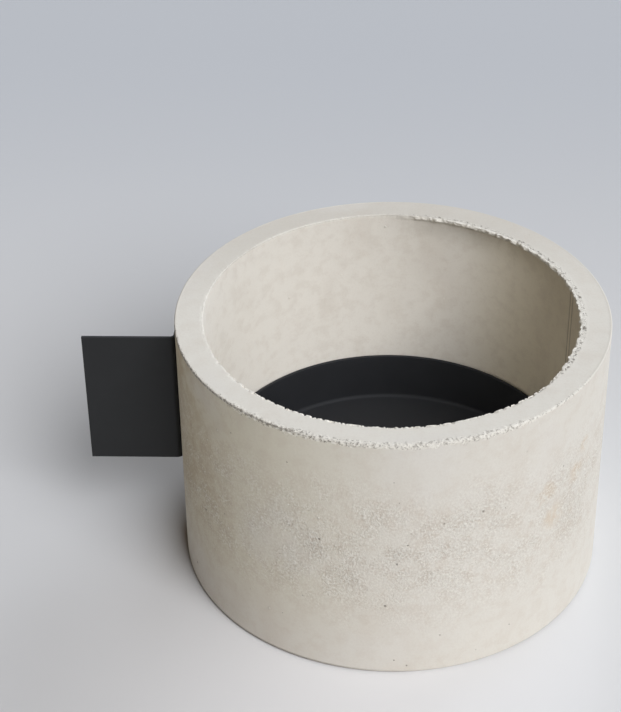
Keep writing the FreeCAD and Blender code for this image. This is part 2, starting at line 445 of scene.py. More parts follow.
# %% Broken edges
# Two distances for each mark: where it is full and where it is gone, or the other way round
CRUMB_REACH = (2.4 * MM, 5.4 * MM)
NOTCH_REACH = (1.0 * MM, 2.6 * MM)
CORNER_REACH = (1.2 * MM, 3.4 * MM)
BORE_REACH = (1.3 * MM, 2.6 * MM)
BEAD_REACH = (0.8 * MM, 2.6 * MM)
EDGE_SHADOW_REACH = (0.5 * MM, 1.4 * MM)
SEAM_REACH = (0.3 * MM, 2.0 * MM)
FOOT_SHADOW_REACH = (1.4 * MM, 3.6 * MM)
LIP_REACH = (0.2 * MM, 1.4 * MM)
LIP_DROP = (7.0 * MM, 4.0 * MM)
FLAT_REACH = (0.8 * MM, 2.0 * MM)
BEAD_SETBACK = 1.3 * MM
EDGE_SHADOW_DROP = 1.4 * MM

edge_gap = spot.from_circle(shell_outer, shell_top)
bore_gap = spot.from_circle(rim_bore, shell_top)
broken = spot.facing(*BROKEN_ARC)
nicked = spot.facing(*NICKED_ARC)
beaded = spot.facing(*BEAD_ARC)
near_top = board.fade(below_top, *LIP_DROP)
crumb = board.noise(place, 460.0, 2.0, 0.65, seed=31.0)
lump = board.noise(place, 120.0, 2.0, 0.60, seed=33.0)
uneven = (lump - 0.5) * 12.0 * MM
clod = board.noise(place, 270.0, 2.0, 0.60, seed=35.0)

crumb_zone = board.near(edge_gap + uneven, *CRUMB_REACH) * broken
notch_zone = board.near(edge_gap + uneven * 0.4, *NOTCH_REACH) * nicked * (1 - broken)
corner_line = board.near(edge_gap + uneven * 0.1, *CORNER_REACH)
bore_edge = board.near(bore_gap, *BORE_REACH) * (1 - beaded)
# A pale line on the inner edge, full at the front and broken on the left and back, is a painted highlight.
left_line = spot.facing(*LEFT_LIP_ARC) * board.fade(lump, 0.36, 0.58) * 0.55
faint_line = left_line + spot.facing(*BACK_LIP_ARC) * 0.5
painted_bore_highlight = bore_edge * board.larger(spot.facing(*FRONT_LIP_ARC), faint_line)
lip_line = board.fade(rim_bore - spot.reach, *LIP_REACH) * near_top * beaded
bead_gap = abs(spot.reach + uneven * 0.25 - rim_bore - BEAD_SETBACK)
bead_zone = board.near(bead_gap, *BEAD_REACH) * near_top * beaded
ragged = crumb_zone + notch_zone + bead_zone

deep = spot.facing(*DEEP_ARC)
flat_top = board.fade(shell_outer - spot.reach, *FLAT_REACH)
edge_shadow_side = spot.facing(*EDGE_SHADOW_ARC)
pit_zone = crumb_zone * (1 - 0.7 * edge_shadow_side * flat_top)
# Pits are darkened with painted shade, where their hollows would be shaded.
fine_pits = (0.44 + 0.30 * deep) * pit_zone + (0.50 + 0.30 * deep) * notch_zone + 0.30 * bead_zone
coarse_pits = (0.36 + 0.30 * deep) * pit_zone + 0.75 * bead_zone
pits_and_shade = board.larger(board.fade(crumb, 0.565, 0.635) * fine_pits, board.fade(clod, 0.56, 0.63) * coarse_pits)
# A thin painted shadow line just under the outer edge, on the left, joins the dark pits.
edge_shadow_gap = abs(below_top - EDGE_SHADOW_DROP + uneven * 0.06)
painted_edge_shadow = board.near(edge_shadow_gap, *EDGE_SHADOW_REACH) * outside * edge_shadow_side
pits_and_shade = board.larger(pits_and_shade, painted_edge_shadow * (0.20 + 0.45 * board.fade(clod, 0.42, 0.54)))
crumbs_and_highlight = board.fade(crumb, 0.54, 0.46) * (0.95 * crumb_zone + 0.6 * notch_zone + 0.3 * bead_zone)
crumbs_and_highlight = board.larger(crumbs_and_highlight, board.larger(painted_bore_highlight, lip_line) * 0.95)
crumbs_and_highlight = board.larger(crumbs_and_highlight, specks * 0.8)

# On the right the outer corner gets painted shade, which damps the highlight of its rounding.
painted_corner_shade = corner_line * spot.facing(*CORNER_SHADE_ARC)
cream_corner = (corner_line - painted_corner_shade) * (0.2 + 0.4 * board.fade(lump, 0.40, 0.62))
colour = board.mix((bore_edge - painted_bore_highlight) * 0.3 + painted_corner_shade * 0.8, colour, CEMENT_DARKER)
colour = board.mix(cream_corner, colour, CEMENT_CREAM)
# A dark line along the foot, strongest on the shaded left, is painted shadow of the gap under the shell.
painted_foot_shadow = board.near(spot.z - shell_bottom, *FOOT_SHADOW_REACH) * outside
colour = board.mix(painted_foot_shadow * 0.65 * spot.facing(*FOOT_SHADOW_ARC), colour, CEMENT_SEAM_AND_SHADE)
# Fresh crumbs and pale specks, and the painted highlight on the inner edge, take the paler colour.
colour = board.mix(crumbs_and_highlight, colour, CEMENT_FRESH_AND_HIGHLIGHT)
colour = board.mix(pinholes_and_shade * 0.6, colour, CEMENT_SEAM_AND_SHADE)
# Chips made by the shape tree get a little painted shade as well.
edge_break = board.add("ShaderNodeAttribute", {"attribute_name": "edge_break"}, out="Fac")
colour = board.mix(board.larger(pits_and_shade, board.fade(edge_break, 0.45, 0.95) * 0.30), colour, CEMENT_SEAM_AND_SHADE)

seam_lines = spot.uprights(SEAM_ANGLES, *SEAM_REACH)
above_floor = board.fade(spot.z, shell_floor + 2 * MM, shell_floor + FLOOR_CORNER)
inner_wall = (1 - outside) * (1 - near_top) * above_floor * board.fade(spot.x, 0.0, foot_bore / 2)
colour = board.mix(seam_lines * inner_wall * 0.40, colour, CEMENT_SEAM_AND_SHADE)

relief = grain * 0.05 + (grit - 0.5) * (0.08 + 1.4 * gritty) + mottles * 0.25
relief = relief + (specks - pinholes_and_shade) * 0.5 - pits_and_shade * 0.6
relief = relief + (ragged + painted_bore_highlight + lip_line) * (crumb - 0.5) * 1.6
feed(board, shader, Base_Color=colour, Roughness=0.82 + 0.12 * mottles, Normal=bump(board, relief))
feed(board, shader, Specular_IOR_Level=0.25)
print("cast cement has", len(cement.node_tree.nodes), "nodes")

# %% [markdown]
# ### Black finishes
#
# The tray is moulded plastic with a low sheen and a very fine grain. The side sheet is powder coated:
# a matte skin with a slight orange peel. Screws and washers have black oxide, a thin dark skin through
# which the steel still shines a little. The rubber parts are plain matte black. All four are the same
# idea with other numbers, so one function makes them.

# %% Black skins


def black_skin(
    name, colour, worn, roughness, grain_scale, grain_mm, metallic=0.0, sheen=0.35, reflection_below=-1.0
):
    """A dark finish with a fine grain. Below a height, if one is given, it is painted lighter, as a painted
    reflection.
    """
    material, board, shader = new_finish(name)
    place = board.add("ShaderNodeTexCoord", out="Object")
    drift = board.noise(place, 24.0, 3.0, 0.6, seed=2.0)
    grain = board.noise(place, grain_scale, 2.0, 0.6, seed=7.0)
    tone = board.mix(board.fade(drift, 0.42, 0.70) * 0.55 + 0.2 * grain, colour, worn)
    # Below the given height the finish is painted lighter, as a painted reflection.
    painted_reflection = board.fade(board.split(place)[2], reflection_below + 2 * MM, reflection_below) * (0.6 + 0.4 * drift)
    tone = board.mix(painted_reflection, tone, BLACK_REFLECTION)
    gloss = roughness + 0.10 * (drift - 0.5) + 0.06 * (grain - 0.5)
    feed(board, shader, Base_Color=tone, Roughness=gloss, Normal=bump(board, grain * grain_mm))
    feed(board, shader, Metallic=metallic, Specular_IOR_Level=sheen)
    print(name, "is ready")
    return material


BLACK_REFLECTION = rgb(0.030, 0.031, 0.034)
TRAY_BLACKS = rgb(0.020, 0.021, 0.0235), rgb(0.025, 0.0265, 0.030)
COAT_BLACKS = rgb(0.0150, 0.0158, 0.0165), rgb(0.0205, 0.0215, 0.0225)
OXIDE_BLACKS = rgb(0.035, 0.034, 0.033), rgb(0.07, 0.068, 0.066)
RUBBER_BLACKS = rgb(0.020, 0.020, 0.020), rgb(0.032, 0.031, 0.030)
TRAY_SHEET = 3.0 * MM
tray_floor = tray_bottom + TRAY_SHEET
# The tray's floor is painted lighter, as a painted reflection, which also softens the line of light in its
# corner.
tray_looks = {"sheen": 0.25, "reflection_below": tray_floor}
tray_plastic = black_skin("tray_plastic", *TRAY_BLACKS, 0.66, 1400.0, 0.010, **tray_looks)
powder_coat = black_skin("powder_coat", *COAT_BLACKS, 0.55, 1100.0, 0.030)
black_oxide = black_skin("black_oxide", *OXIDE_BLACKS, 0.34, 1800.0, 0.004, metallic=0.7)
rubber = black_skin("rubber", *RUBBER_BLACKS, 0.75, 900.0, 0.020)

# %% Brass of the cast-in sockets
brass, board, shader = new_finish("turned_brass")
place = board.add("ShaderNodeTexCoord", out="Object")
tarnish = board.noise(place, 260.0, 3.0, 0.6)
colour = board.mix(board.fade(tarnish, 0.45, 0.75), rgb(0.62, 0.47, 0.24), rgb(0.34, 0.24, 0.12))
feed(board, shader, Base_Color=colour, Metallic=1.0, Roughness=0.28 + 0.25 * tarnish)
print("turned brass is ready")

# %% [markdown]
# ## A lathe in Geometry Nodes
#
# The shell, the tray, the pads and the screws are all turned shapes: one outline, spun about
# an axis. The lathe tree takes the outline as a row of points. It makes a flat grid, one row of the
# grid for each point and one column for each step round the circle, and moves every grid point to its
# place: the row says which outline point to sample, and the column says the angle. Merging by
# distance then closes the seam, and the pole where an outline meets the axis.
#
# The rows can crowd together where an edge is rounded and stay far apart on a plain wall. The Spin tool or
# the Screw modifier would also allow that, but here the number of steps stays a named input.
#
# A screw's key hole has six flats. So points closer to the axis than the Key Size input are pushed out from a
# circle to a hexagon.

# %% Build the lathe tree


def new_tree(name, counts, numbers):
    """A Geometry Nodes tree with a geometry in and out, and named inputs, of which the last is a material."""
    tree = bpy.data.node_groups.new(name, "GeometryNodeTree")
    inputs = {"Geometry": "Geometry"} | dict.fromkeys(counts, "Int") | dict.fromkeys(numbers, "Float")
    for socket_name, kind in (inputs | {"Material": "Material"}).items():
        tree.interface.new_socket(socket_name, in_out="INPUT", socket_type="NodeSocket" + kind)
    tree.interface.new_socket("Geometry", in_out="OUTPUT", socket_type="NodeSocketGeometry")
    board = Board(tree)
    return tree, board, board.add("NodeGroupInput")


def end_tree(board, geometry, material):
    """Every tree ends the same way: real geometry, with its material."""
    real = board.add("GeometryNodeRealizeInstances", None, {"Geometry": geometry})
    dressed = board.add("GeometryNodeSetMaterial", None, {"Geometry": real, "Material": material})
    board.add("NodeGroupOutput", None, {"Geometry": dressed})


HEX_STEP = math.tau / 6
MERGE_GAP = 0.01 * MM

lathe, board, start = new_tree("lathe", ["Steps"], ["Key Size"])
steps = start.other("Steps")
rows = board.add("GeometryNodeAttributeDomainSize", {"component": "MESH"}, {"Geometry": start}, "Point Count")
grid_size = {"Size X": 1.0, "Size Y": 1.0, "Vertices X": steps + 1, "Vertices Y": rows}
grid = board.add("GeometryNodeMeshGrid", None, grid_size)
index = board.add("GeometryNodeInputIndex")
column = board.math("FLOOR", (index + 0.5) / rows)
row = index - column * rows
position = board.add("GeometryNodeInputPosition")
outline_point = board.add(
    "GeometryNodeSampleIndex",
    {"data_type": "FLOAT_VECTOR", "domain": "POINT"},
    {"Geometry": start, "Value": position, "Index": row},
)
reach, _, height = board.split(outline_point)
angle = column * math.tau / steps
off_flat = board.math("FLOORED_MODULO", angle + HEX_STEP / 2, HEX_STEP) - HEX_STEP / 2
in_key = board.math("LESS_THAN", reach, start.other("Key Size"))
reach = reach * (1 + in_key * (1 / board.math("COSINE", off_flat) - 1))
spun = board.polar(reach, angle, height)
turned = board.add("GeometryNodeSetPosition", None, {"Geometry": grid, "Position": spun})
closed = board.add("GeometryNodeMergeByDistance", None, {"Geometry": turned, "Distance": MERGE_GAP})
smooth = board.add("GeometryNodeSetShadeSmooth", None, {"Geometry": closed})
end_tree(board, smooth, start.other("Material"))
print("lathe tree has", len(lathe.nodes), "nodes")

# %% [markdown]
# An outline is a list of points, each a distance from the axis and a height. `straight` and `bend` give
# the points of a line and of a rounded corner, so an outline reads like a route: along the foot,
# round the edge, up the wall.

# %% Outlines and finished meshes


def straight(start, end, count):
    """Points from start to end in equal steps, without the start."""
    return [tuple(a + (b - a) * i / count for a, b in zip(start, end)) for i in range(1, count + 1)]


def bend(centre, radius, first, last, count):
    """Points of a rounded corner between two angles in degrees, with the first."""
    turns = [math.radians(first + (last - first) * i / count) for i in range(count + 1)]
    return [(centre[0] + radius * math.cos(turn), centre[1] + radius * math.sin(turn)) for turn in turns]


def outline_object(name, points):
    """An object whose mesh is only the row of outline points."""
    mesh = bpy.data.meshes.new(name)
    edges = [(i, i + 1) for i in range(len(points) - 1)]
    mesh.from_pydata([(r, 0.0, h) for r, h in points], edges, [])
    made = bpy.data.objects.new(name, mesh)
    bpy.context.scene.collection.objects.link(made)
    return made


def add_tree(piece, tree, **values):
    """Puts a tree on a piece and sets its inputs by their identifiers."""
    modifier = piece.modifiers.new(tree.name, "NODES")
    modifier.node_group = tree
    for item in tree.interface.items_tree:
        if item.in_out == "INPUT" and item.name.replace(" ", "_") in values:
            modifier[item.identifier] = values[item.name.replace(" ", "_")]


def enclosed(mesh):
    """Volume inside a mesh in litres: it is positive when the faces point outwards."""
    total = 0.0
    for face in mesh.polygons:
        corners = [mesh.vertices[i].co for i in face.vertices]
        for i in range(1, len(corners) - 1):
            total += corners[0].dot(corners[i].cross(corners[i + 1])) / 6
    return total * 1000


def settle(piece):
    """Turns what the modifiers make into the piece's own plain mesh, with its faces pointing outwards."""
    bpy.context.view_layer.update()
    graph = bpy.context.evaluated_depsgraph_get()
    made = piece.evaluated_get(graph)
    mesh = bpy.data.meshes.new_from_object(made, preserve_all_data_layers=True, depsgraph=graph)
    piece.modifiers.clear()
    piece.data = mesh
    mesh.name = piece.name
    if enclosed(mesh) < 0:
        mesh.flip_normals()
    triangles = sum(len(face.vertices) - 2 for face in mesh.polygons)
    print(f"{piece.name}: {len(mesh.vertices)} points, {triangles} triangles, {enclosed(mesh):.4f} litres")


def dress(piece, body, slot, *nodes):
    """Rides a finished piece on its body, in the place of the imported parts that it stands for."""
    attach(piece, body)
    if nodes:
        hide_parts(*nodes)


# %% [markdown]
# ## The cast shell
#
# Most of what the eye sees on this object is its rim: a flat ring whose two edges are ragged. The outline
# therefore puts its rows less than a millimetre apart near both edges, and far apart on the walls.

# %% Outline of the shell
EDGE_ROW = 0.80 * MM
RIM_OUTER_EDGE = 1.2 * MM
RIM_INNER_EDGE = 0.9 * MM
FOOT_EDGE = 2.0 * MM
FINE_WALL = 4.8 * MM
FINE_RIM = 5.6 * MM
SHELL_STEPS = 1380
WALL_ROWS = 9
FLOOR_ROWS = 3
SHORT_ROWS = 2
OUTER_BEND = 5
INNER_BEND = 4

fine_rows = round(FINE_WALL / EDGE_ROW)
rim_rows = round(FINE_RIM / EDGE_ROW)
wall_head = shell_top - RIM_OUTER_EDGE
inner_head = shell_top - RIM_INNER_EDGE
foot_line = shell_bottom + FOOT_EDGE
floor_line = shell_floor + FLOOR_CORNER
rim_out = shell_outer - RIM_OUTER_EDGE
rim_in = rim_bore + RIM_INNER_EDGE

outline = [(drain_radius, shell_bottom)]
outline += straight(outline[-1], (shell_outer - FOOT_EDGE, shell_bottom), FLOOR_ROWS)
outline += bend((shell_outer - FOOT_EDGE, foot_line), FOOT_EDGE, -90, 0, OUTER_BEND)[1:]
outline += straight(outline[-1], (shell_outer, wall_head - FINE_WALL), WALL_ROWS)
outline += straight(outline[-1], (shell_outer, wall_head), fine_rows)
outline += bend((rim_out, wall_head), RIM_OUTER_EDGE, 0, 90, OUTER_BEND)[1:]
outline += straight(outline[-1], (rim_out - FINE_RIM, shell_top), rim_rows)
outline += straight(outline[-1], (rim_in + FINE_RIM, shell_top), SHORT_ROWS)
outline += straight(outline[-1], (rim_in, shell_top), rim_rows)
outline += bend((rim_in, inner_head), RIM_INNER_EDGE, 90, 180, INNER_BEND)[1:]
outline += straight(outline[-1], (rim_bore, inner_head - FINE_WALL), fine_rows)
outline += straight(outline[-1], (foot_bore, floor_line), WALL_ROWS)
outline += bend((foot_bore - FLOOR_CORNER, floor_line), FLOOR_CORNER, 0, -90, INNER_BEND)[1:]
outline += straight(outline[-1], (drain_radius, shell_floor), FLOOR_ROWS)
outline += straight(outline[-1], (drain_radius, shell_bottom), SHORT_ROWS)
print("the shell's outline has", len(outline), "rows")

# %% [markdown]
# ### Broken edges
#
# A second tree roughens the turned shell. It moves the points along their normals and makes
#
# - crumbs and chips near the outer edge, where noise passes a threshold;
# - a bead, the lip of cement that was squeezed over the inner edge and leans into the opening;
# - small nicks along the rest of the inner edge;
# - slow waves over the walls, because no hand-made mould is perfectly round;
# - two upright seams inside, where the sheet of the core met.
#
# A Displace modifier could do one of these. Written as a tree, they all share the finish's measures, and
# each has its own depth as a named input.

# %% Build the cast surface tree
CAST_PLACES = ["Outer Radius", "Inner Radius", "Rim Height", "Floor Height"]
CAST_DEPTHS = ["Chip Depth", "Nick Depth", "Bead Height", "Bead Lean", "Wave Depth", "Seam Depth"]
cast, board, start = new_tree("cast_surface", [], [*CAST_PLACES, *CAST_DEPTHS, "Seed"])
outer, inner, top = start.other("Outer Radius"), start.other("Inner Radius"), start.other("Rim Height")
seed = start.other("Seed")
place = board.add("GeometryNodeInputPosition")
spot = Round(board, place)
crumb = board.noise(place, 300.0, 3.0, 0.65, seed=seed)
lump = board.noise(place, 150.0, 2.0, 0.6, seed=seed + 8.0)
slow = board.noise(place, 7.0, seed=seed + 12.0) - 0.5
ripple = board.noise(place, 48.0, seed=seed + 16.0) - 0.5

# %% Crumbs, chips and nicks
CHIP_REACH = (2.0 * MM, 5.2 * MM)
NICK_REACH = (1.4 * MM, 3.4 * MM)
LEAN_REACH = (2.2 * MM, 6.0 * MM)
SEAM_WIDTH = (0.3 * MM, 1.4 * MM)

to_outer = spot.from_circle(outer, top)
to_inner = spot.from_circle(inner, top)
broken = spot.facing(*BROKEN_ARC)
nicked = spot.facing(*NICKED_ARC)
beaded = spot.facing(*BEAD_ARC)
edge_zone = board.near(to_outer + (lump - 0.5) * 10.0 * MM, *CHIP_REACH)
chip = board.fade(crumb + 0.5 * (lump - 0.5), 0.56, 0.68) * edge_zone * (0.10 + 0.55 * broken + 0.35 * nicked)
rolled = edge_zone * (crumb - 0.45) * (0.35 + 1.5 * broken + 0.4 * nicked)
bore_zone = board.near(to_inner, *NICK_REACH)
nick_share = (0.2 + 0.8 * spot.facing(*FRONT_LIP_ARC)) * (1 - 0.6 * beaded)
nick = board.fade(crumb, 0.46, 0.58) * bore_zone * nick_share

# %% The bead
lean_zone = board.near(to_inner, *LEAN_REACH) * beaded
lumps = 0.55 + 1.9 * (lump - 0.45) + 0.9 * (crumb - 0.5)
bead = lean_zone * board.math("MINIMUM", lumps, 1.0)

# %% Seams, waves and the sum of it all
inside = board.near(spot.reach, inner - 0.5 * MM, inner + 1.5 * MM)
inside = inside * board.near(spot.z, top - 8.0 * MM, top - 3.0 * MM)
inside = inside * board.fade(spot.z, start.other("Floor Height"), start.other("Floor Height") + FLOOR_CORNER)
seams = spot.uprights(SEAM_ANGLES, *SEAM_WIDTH) * board.fade(spot.x, 0.0, inner * 0.5)
push = (slow + 0.25 * ripple) * start.other("Wave Depth")
push = push + (rolled - chip) * start.other("Chip Depth") - nick * start.other("Nick Depth")
push = push - seams * inside * start.other("Seam Depth")
along_normal = board.scaled(board.add("GeometryNodeInputNormal"), push)
lean = 0 - bead * start.other("Bead Lean") / spot.reach
lift = board.join(spot.x * lean, spot.y * lean, bead * start.other("Bead Height"))

# Every point also keeps how chipped it is, for the material to read
settings = {"data_type": "FLOAT", "domain": "POINT"}
sockets = {"Geometry": start, "Name": "edge_break", "Value": chip}
kept = board.add("GeometryNodeStoreNamedAttribute", settings, sockets)
offset = board.vector("ADD", along_normal, lift)
moved = board.add("GeometryNodeSetPosition", None, {"Geometry": kept, "Offset": offset})
end_tree(board, moved, start.other("Material"))
print("cast surface tree has", len(cast.nodes), "nodes")

# %% Turn and roughen the shell
shell = outline_object("shell", outline)
add_tree(shell, lathe, Steps=SHELL_STEPS, Material=cement)
add_tree(
    shell,
    cast,
    Outer_Radius=shell_outer,
    Inner_Radius=rim_bore,
    Rim_Height=shell_top,
    Floor_Height=shell_floor,
    Chip_Depth=1.3 * MM,
    Nick_Depth=1.9 * MM,
    Bead_Height=0.7 * MM,
    Bead_Lean=4.6 * MM,
    Wave_Depth=0.9 * MM,
    Seam_Depth=0.5 * MM,
    Seed=21.0,
    Material=cement,
)
settle(shell)
dress(shell, "planter", "cast_cement", "cast_shell")

# %% [markdown]
# ## The tray
#
# The tray is thin moulded plastic. Its side leans out slightly so that it leaves its mould, its rim
# is rounded over, and its floor meets the side in a curve, which catches a thin line of light.

# %% Outline of the tray
TRAY_DRAFT = 2.0 * MM
TRAY_CORNER = 7.0 * MM
TRAY_EDGE = 1.0 * MM
TRAY_STEPS = 360

tray_foot = tray_rim - TRAY_DRAFT
inner_corner = TRAY_CORNER - TRAY_SHEET
side_high = (tray_rim, tray_top - TRAY_EDGE)
well_low = (tray_foot - TRAY_SHEET, tray_floor + inner_corner)

outline = [(0.0, tray_bottom)]
outline += straight(outline[-1], (tray_foot - TRAY_CORNER, tray_bottom), 5)
outline += bend((tray_foot - TRAY_CORNER, tray_bottom + TRAY_CORNER), TRAY_CORNER, -90, 0, 8)[1:]
outline += straight(outline[-1], side_high, 6)
outline += bend((tray_rim - TRAY_EDGE, tray_top - TRAY_EDGE), TRAY_EDGE, 0, 90, 4)[1:]
outline += bend((tray_rim - TRAY_SHEET + TRAY_EDGE, tray_top - TRAY_EDGE), TRAY_EDGE, 90, 180, 4)
outline += straight(outline[-1], well_low, 6)
outline += bend((well_low[0] - inner_corner, well_low[1]), inner_corner, 0, -90, 10)[1:]
outline += straight(outline[-1], (0.0, tray_floor), 6)
tray_piece = outline_object("tray_liner", outline)
add_tree(tray_piece, lathe, Steps=TRAY_STEPS, Material=tray_plastic)
settle(tray_piece)
dress(tray_piece, "tray", "black_tray", "tray")

# %% [markdown]
# ## Pads and spacers
#
# Four rubber pads carry the shell and three rubber spacers carry the tray. Each set is one disc
# repeated on a circle, so a tree places copies of a turned disc: Points makes one point for each copy, at
# an angle worked out from its index, and Instance on Points puts the disc there. Realize Instances makes
# them real.

# %% Build the ring tree
ring, board, start = new_tree("ring_of_copies", ["Copies"], ["Ring Radius", "First Angle", "Level"])
copies = start.other("Copies")
angle = start.other("First Angle") + board.add("GeometryNodeInputIndex") * math.tau / copies
place = board.polar(start.other("Ring Radius"), angle, start.other("Level"))
points = board.add("GeometryNodePoints", None, {"Count": copies, "Position": place})
discs = board.add("GeometryNodeInstanceOnPoints", None, {"Points": points, "Instance": start})
end_tree(board, discs, start.other("Material"))
print("ring tree has", len(ring.nodes), "nodes")

# %% Turn the pads and the spacers
SMALL_STEPS = 48


def disc_outline(radius, thickness, edge):
    """A disc that stands on its rounded lower edge and has a softer upper one."""
    route = [(0.0, 0.0)]
    route += straight(route[-1], (radius - edge, 0.0), 2)
    route += bend((radius - edge, edge), edge, -90, 0, 4)[1:]
    route += straight(route[-1], (radius, thickness), 2)
    route += straight(route[-1], (0.0, thickness), 2)
    return route


def ring_of_discs(node, name, body, count, first_angle, edge):
    """Copies of a disc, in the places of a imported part's solids."""
    low, high = levels(node)
    near_axis, far = radii(node)
    piece = outline_object(name, disc_outline((far - near_axis) / 2, high - low, edge))
    add_tree(piece, lathe, Steps=SMALL_STEPS, Material=rubber)
    ring_radius = (far + near_axis) / 2
    place = {"Ring_Radius": ring_radius, "First_Angle": first_angle, "Level": low}
    add_tree(piece, ring, Copies=count, Material=rubber, **place)
    settle(piece)
    dress(piece, body, "black_rubber", node)


feet_places = {"count": 4, "first_angle": math.pi / 4, "edge": 0.3 * MM}
spacer_places = {"count": 3, "first_angle": math.pi / 2, "edge": 0.6 * MM}
ring_of_discs("foot_pads", "rubber_feet", "planter", **feet_places)
ring_of_discs("tray_spacers", "rubber_spacers", "tray", **spacer_places)

# %% [markdown]
# ## Screws and washers of the side sheet
#
# Two button-head screws, one above the other, hold the sheet's flange. The row tree repeats a fastener up the
# wall and turns its axis so that it points straight out from the planter. Its places are read from the
# packed washers: the direction and heights of their middles, and how far out their faces lie.

# %% Read the fasteners' places


def along(node, direction):
    """Nearest and furthest that a part reaches in a level direction."""
    return spread(p.x * math.cos(direction) + p.y * math.sin(direction) for p in node_points(node))


washer_points = node_points("plate_washers")
row_low, row_high = levels("plate_washers")
row_middle = (row_low + row_high) / 2
low_washer = [p for p in washer_points if p.z < row_middle]
low_edge, washer_height = spread(p.z for p in low_washer)
screw_low = (low_edge + washer_height) / 2
washer_radius = (washer_height - low_edge) / 2
screw_gap = 2 * (row_middle - screw_low)
mean_x = sum(p.x for p in washer_points) / len(washer_points)
mean_y = sum(p.y for p in washer_points) / len(washer_points)
screw_direction = math.atan2(mean_y, mean_x)
washer_back, washer_face = along("plate_washers", screw_direction)
screw_tip, head_face = along("plate_screws", screw_direction)
print(f"screws point to {math.degrees(screw_direction):.1f} degrees, {screw_gap:.4f} m apart")

# %% Build the row tree
ROW_NUMBERS = ["First Height", "Spacing", "Reach", "Direction"]
row_tree, board, start = new_tree("upright_row", ["Copies"], ROW_NUMBERS)
direction = start.other("Direction")
height = start.other("First Height") + board.add("GeometryNodeInputIndex") * start.other("Spacing")
place = board.polar(start.other("Reach"), direction, height)
points = board.add("GeometryNodePoints", None, {"Count": start.other("Copies"), "Position": place})
turn = board.join(0.0, math.pi / 2, direction)
as_rotation = board.add("FunctionNodeEulerToRotation", None, {0: turn})
sockets = {"Points": points, "Instance": start, "Rotation": as_rotation}
fasteners = board.add("GeometryNodeInstanceOnPoints", None, sockets)
end_tree(board, fasteners, start.other("Material"))
print("row tree has", len(row_tree.nodes), "nodes")

# %% Turn the fasteners
SCREW_RADIUS = 3.0 * MM
HEAD_RADIUS = 5.25 * MM
HEAD_DOME = 2.2 * MM
HEAD_CHAMFER = 0.15 * MM
KEY_FLAT = 2.0 * MM
KEY_DEPTH = 2.0 * MM
KEY_MOUTH = 0.25 * MM
KEY_SLACK = 0.1 * MM
TIP_CHAMFER = 0.8 * MM
WASHER_HOLE = 3.3 * MM
WASHER_EDGE = 0.25 * MM
SHARP_ANGLE = math.radians(35)

head_height = head_face - washer_face
shank = washer_face - screw_tip
washer_sheet = washer_face - washer_back

screw_route = [(0.0, -shank), (SCREW_RADIUS - TIP_CHAMFER, -shank), (SCREW_RADIUS, TIP_CHAMFER - shank)]
screw_route += [(SCREW_RADIUS, 0.0), (HEAD_RADIUS - HEAD_CHAMFER, 0.0), (HEAD_RADIUS, HEAD_CHAMFER)]
screw_route += bend((HEAD_RADIUS - HEAD_DOME, head_height - HEAD_DOME), HEAD_DOME, 0, 90, 7)
screw_route += [(KEY_FLAT + KEY_MOUTH, head_height), (KEY_FLAT, head_height - KEY_MOUTH)]
screw_route += [(KEY_FLAT, head_height - KEY_DEPTH), (0.0, head_height - KEY_DEPTH)]
washer_route = [(WASHER_HOLE, 0.0), (washer_radius - WASHER_EDGE, 0.0), (washer_radius, WASHER_EDGE)]
washer_route += [(washer_radius, washer_sheet - WASHER_EDGE), (washer_radius - WASHER_EDGE, washer_sheet)]
washer_route += [(WASHER_HOLE, washer_sheet), (WASHER_HOLE, 0.0)]


def fastener_row(node, name, route, reach, key_size):
    """Both copies of a fastener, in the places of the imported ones."""
    piece = outline_object(name, route)
    add_tree(piece, lathe, Steps=SMALL_STEPS, Key_Size=key_size, Material=black_oxide)
    values = {"First_Height": screw_low, "Spacing": screw_gap, "Reach": reach, "Direction": screw_direction}
    add_tree(piece, row_tree, Copies=2, Material=black_oxide, **values)
    settle(piece)
    piece.data.set_sharp_from_angle(angle=SHARP_ANGLE)
    dress(piece, "planter", "black_screw", node)


fastener_row("plate_screws", "button_screws", screw_route, washer_face, KEY_FLAT + KEY_SLACK)
fastener_row("plate_washers", "screw_washers", washer_route, washer_back, 0.0)

# %% [markdown]
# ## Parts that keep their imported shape
#
# The folded sheet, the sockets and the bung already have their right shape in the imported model, down to
# the sheet's softened edges, so they only get their finish.

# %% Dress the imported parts
PACKED_FINISHES = {"side_plate": powder_coat, "wall_sockets": brass, "drain_bung": rubber}
for node, finish in PACKED_FINISHES.items():
    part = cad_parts[node]
    part.data.materials.clear()
    part.data.materials.append(finish)
    print(node, "gets", finish.name)

# %% [markdown]
# ## Floor, light and camera
#
# The planter stands on a pale floor that turns a little bluer and darker towards the back, with a painted
# pool of light just in front of it. Three wide, far lamps share the work: the main one from the front right,
# a lower one from the back right, which brightens the right side and reaches into the opening, and a weak,
# very wide one from the right. A far lamp lights every height alike, so the rim and the foot get the same. A
# dim warm sky keeps the shaded side from going black.

# %% Floor
FLOOR_SIZE = 60.0
FLOOR_PALE = rgb(0.70, 0.70, 0.695)
FLOOR_PAINTED_LIGHT = rgb(0.95, 0.945, 0.945)
FLOOR_FAR = rgb(0.58, 0.60, 0.625)
LIGHT_POOL_SPOT = (-0.06, -0.28, 0.0)
LIGHT_POOL_REACH = 0.38
FAR_START, FAR_END = 0.15, 1.1

floor_finish, board, shader = new_finish("pale_floor")
place = board.add("ShaderNodeTexCoord", out="Object")
to_back = board.split(place)[1]
